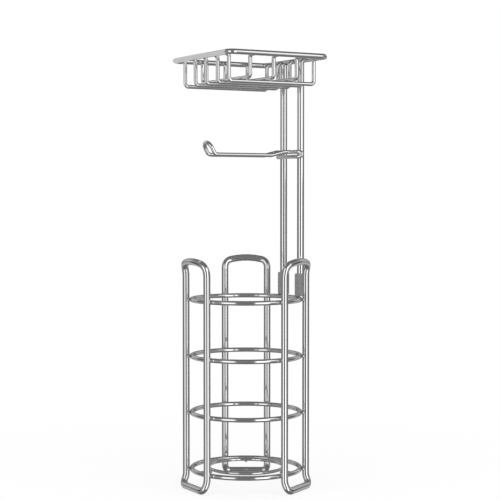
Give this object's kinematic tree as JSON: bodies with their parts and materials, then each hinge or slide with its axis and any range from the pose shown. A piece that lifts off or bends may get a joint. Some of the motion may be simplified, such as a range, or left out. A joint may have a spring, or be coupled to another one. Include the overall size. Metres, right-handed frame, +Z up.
{
  "type": "tissue stand",
  "caption": "Free-standing chromed wire roll holder with a round reserve cage, a forward roll arm and a square wire tray on top.",
  "frame": {"origin": "middle of the base rectangle, on the floor", "axes": "+Z up, -Y the way the roll arm points, +X to the right when seen from the arm's tip"},
  "size_m": [0.199, 0.19, 0.6562],
  "materials": {
    "chrome": "polished chrome plate on steel",
    "grey_plastic": "matte dark grey"
  },
  "bodies": {
    "root": {"leg_front": "chrome", "leg_right": "chrome", "leg_left": "chrome", "lowest_ring": "chrome", "lower_ring": "chrome", "upper_ring": "chrome", "top_ring": "chrome", "floor_ring": "chrome", "floor_spoke_front": "chrome", "floor_spoke_right": "chrome", "floor_spoke_left": "chrome", "cage_spigot_left": "chrome", "cage_spigot_right": "chrome", "pole_left": "chrome", "pole_right": "chrome", "pole_sleeve_left": "grey_plastic", "pole_sleeve_right": "grey_plastic", "tray_stub_left": "chrome", "tray_stub_right": "chrome", "roll_arm": "chrome", "tray_rim": "chrome", "long_wire_left_outer": "chrome", "long_wire_left_inner": "chrome", "long_wire_middle": "chrome", "long_wire_right_inner": "chrome", "long_wire_right_outer": "chrome", "cross_wire_front": "chrome", "cross_wire_middle": "chrome", "cross_wire_rear": "chrome"}
  },
  "joints": []
}
